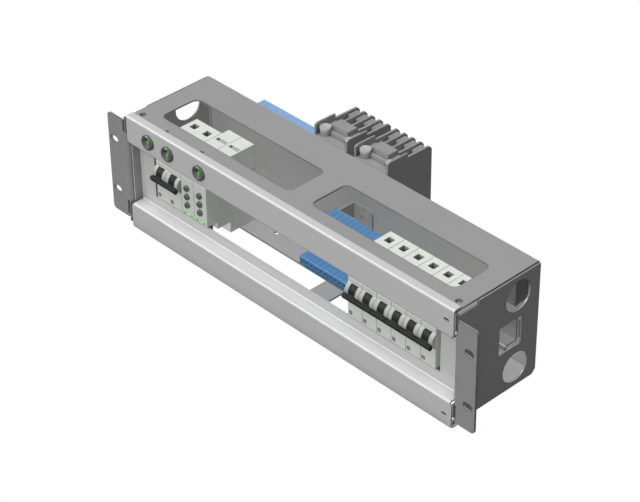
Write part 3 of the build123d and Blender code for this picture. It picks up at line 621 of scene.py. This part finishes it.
# Dark gap strip
# A flat black strip on the front plate along the cut-out's left edge: painted shade for the gap beside the
# two-pole breaker.
# The two-pole breaker hides all but its outer part.
gap_shade_width = 0.0056
gap_shade_y = (0.0141, 0.0144)
gap_shade_z = (-0.0250, 0.0270)
# This black strip is painted shade for the gap, not a part of the module.
gap_shade_strip = add_block(
    "dark_gap_strip",
    (-cutout_half - gap_shade_width, gap_shade_y[0], gap_shade_z[0]),
    (-cutout_half + 0.0001, gap_shade_y[1], gap_shade_z[1]),
)
pick_faces(gap_shade_strip, lambda middle, normal: normal.y < -0.9)
bpy.ops.mesh.inset(thickness=0.0003)
bpy.ops.mesh.extrude_region_move(TRANSFORM_OT_translate={"value": (0, -0.0002, 0)})
bpy.ops.object.mode_set(mode="OBJECT")
soften(gap_shade_strip, 0.00008)
gap_shade_strip.data.materials.append(dull_black)
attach(gap_shade_strip, "chassis")

# Clip nuts
# Blackened steel nuts, pressed from sheet, with a dished middle.
# They are clipped behind the slots at the right end of both front strips.
clip_x = 0.2049
clip_half_width = 0.0055
clip_half_height = 0.004
clip_y = (0.0021, 0.0034)
clip_border = 0.0022
clip_dish = 0.0004
for clip_name, clip_z in (("upper_clip_nut", 0.0493), ("lower_clip_nut", -0.0528)):
    clip = add_block(
        clip_name,
        (clip_x - clip_half_width, clip_y[0], clip_z - clip_half_height),
        (clip_x + clip_half_width, clip_y[1], clip_z + clip_half_height),
    )
    pick_faces(clip, lambda middle, normal: abs(normal.y) > 0.9)
    bpy.ops.mesh.inset(thickness=clip_border, use_individual=True)
    bpy.ops.mesh.extrude_region_shrink_fatten(TRANSFORM_OT_shrink_fatten={"value": -clip_dish})
    bpy.ops.object.mode_set(mode="OBJECT")
    soften(clip, 0.0001)
    clip.data.materials.append(dull_black)
    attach(clip, "chassis")

# Coil screw caps
# Pale moulded caps pressed on the contactors' coil posts, a wide one and a narrow one on each.
# They have a shallow dish for the screwdriver.
cap_pale = moulding("pale cap moulding", (0.5, 0.5, 0.49), roughness=0.4)
cap_y = 0.1496
cap_height = 0.003
cap_rise = 0.0006
cap_border = 0.0012
cap_dish = 0.0003
post_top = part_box("contactor_1_head")[1][2] - 0.0042
for contactor in (1, 2):
    head_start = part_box(f"contactor_{contactor}_head")[0][0]
    for post, (post_x, cap_radius) in enumerate(((0.0076, 0.0058), (0.0390, 0.0036)), start=1):
        bpy.ops.object.select_all(action="DESELECT")
        bpy.ops.mesh.primitive_cylinder_add(
            vertices=32,
            radius=cap_radius,
            depth=cap_height,
            location=(head_start + post_x, cap_y, post_top + cap_rise - cap_height / 2),
        )
        cap = bpy.context.object
        cap.name = f"coil_cap_{contactor}_{post}"
        bpy.ops.object.transform_apply(location=True, rotation=True, scale=True)
        pick_faces(cap, lambda middle, normal: normal.z > 0.9)
        bpy.ops.mesh.inset(thickness=cap_border)
        bpy.ops.mesh.extrude_region_move(TRANSFORM_OT_translate={"value": (0, 0, -cap_dish)})
        bpy.ops.object.mode_set(mode="OBJECT")
        soften(cap, 0.0001)
        bpy.ops.object.shade_smooth_by_angle(angle=math.radians(35))
        cap.data.materials.append(cap_pale)
        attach(cap, "chassis")

# Corner seams
# A weld bead in the chassis' paint closes the narrow joint between the rear wall and each side plate.
# It lies on the inside, as a quarter of a round rod.
seam_radius = 0.0018
seam_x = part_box("chassis_shell")[1][0] + 0.0006
seam_y = 0.1053
seam_bottom = -0.0580
seam_top = 0.0600
for side, side_name in ((-1, "left"), (1, "right")):
    corner_x = side * seam_x
    bpy.ops.object.select_all(action="DESELECT")
    bpy.ops.mesh.primitive_cylinder_add(
        vertices=24,
        radius=seam_radius,
        depth=seam_top - seam_bottom,
        location=(corner_x, seam_y, (seam_top + seam_bottom) / 2),
    )
    seam = bpy.context.object
    seam.name = f"{side_name}_corner_seam"
    bpy.ops.object.transform_apply(location=True, rotation=True, scale=True)
    bpy.ops.object.mode_set(mode="EDIT")
    for plane_point, plane_turn in (((corner_x, 0, 0), (side, 0, 0)), ((0, seam_y, 0), (0, 1, 0))):
        bpy.ops.mesh.select_all(action="SELECT")
        bpy.ops.mesh.bisect(plane_co=plane_point, plane_no=plane_turn, use_fill=True, clear_outer=True)
    bpy.ops.object.mode_set(mode="OBJECT")
    soften(seam, 0.0002)
    bpy.ops.object.shade_smooth_by_angle(angle=math.radians(40))
    seam.data.materials.append(chassis_grey)
    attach(seam, "chassis")
